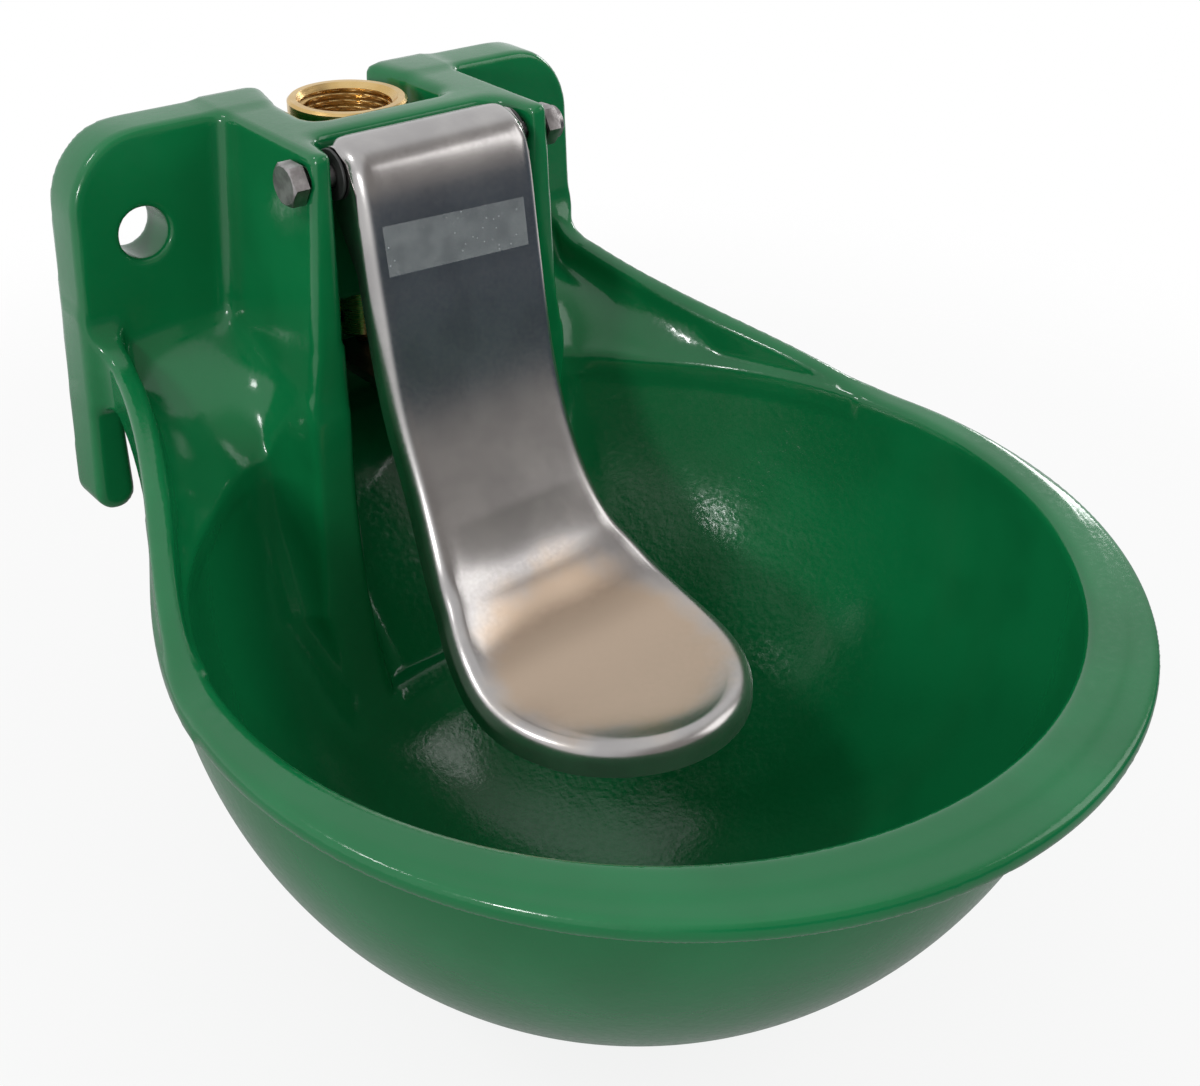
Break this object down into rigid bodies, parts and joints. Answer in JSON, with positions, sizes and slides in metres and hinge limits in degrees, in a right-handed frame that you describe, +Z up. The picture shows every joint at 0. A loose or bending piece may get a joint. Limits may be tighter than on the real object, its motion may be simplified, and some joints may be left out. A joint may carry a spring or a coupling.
{
  "type": "livestock drinking bowl",
  "caption": "Wall-hung cast iron drinking bowl with a pressed steel tongue that opens a brass inlet valve when an animal pushes it back.",
  "frame": {"origin": "on the wall plane, at the middle of the back face, level with the top of the bowl's rim", "axes": "+Z up, +Y into the wall behind the bowl, +X to the right as seen by the animal that drinks"},
  "size_m": [0.2396, 0.2692, 0.21],
  "materials": {
    "enamel": "glossy green enamel",
    "stainless": "satin pressed sheet",
    "zinc": "zinc plated",
    "spring_steel": "bright wire",
    "brass": "machined",
    "rubber": "matt",
    "fibre": "pressed fibre",
    "nylon": "moulded",
    "blue_nylon": "moulded"
  },
  "bodies": {
    "base": {"bowl_casting": "enamel", "pivot_bolt": "zinc", "pivot_nut": "zinc", "nut_insert": "blue_nylon", "pivot_tube": "zinc", "valve_body": "brass", "valve_gasket": "fibre", "lock_washer": "zinc", "valve_lock_nut": "brass", "seat_o_ring": "rubber", "seat_insert": "nylon", "spring_cap": "brass", "inlet_strainer": "stainless", "strainer_ring": "spring_steel", "flow_screw": "brass", "flow_screw_o_ring": "rubber"},
    "tongue": {"paddle": "stainless", "lever_plate": "stainless", "bush_left": "nylon", "bush_right": "nylon"},
    "stem": {"valve_stem": "brass", "stem_seal": "rubber", "valve_spring": "spring_steel"}
  },
  "joints": [
    {"name": "tongue_hinge", "type": "hinge", "parent": "base", "child": "tongue", "pos_m": [0, -0.0536, 0.079], "axis": [1, 0, 0], "range_deg": [0, 6], "stiffness_Nm_per_rad": 3, "springref_deg": -9.74},
    {"name": "stem_slide", "type": "slide", "parent": "base", "child": "stem", "axis": [0, 0, 1], "range_m": [0, 0.0036], "deforming": ["valve_spring"]}
  ],
  "couplings": [
    {"joint": "stem_slide", "follows": "tongue_hinge", "m_per_rad": 0.0323}
  ]
}
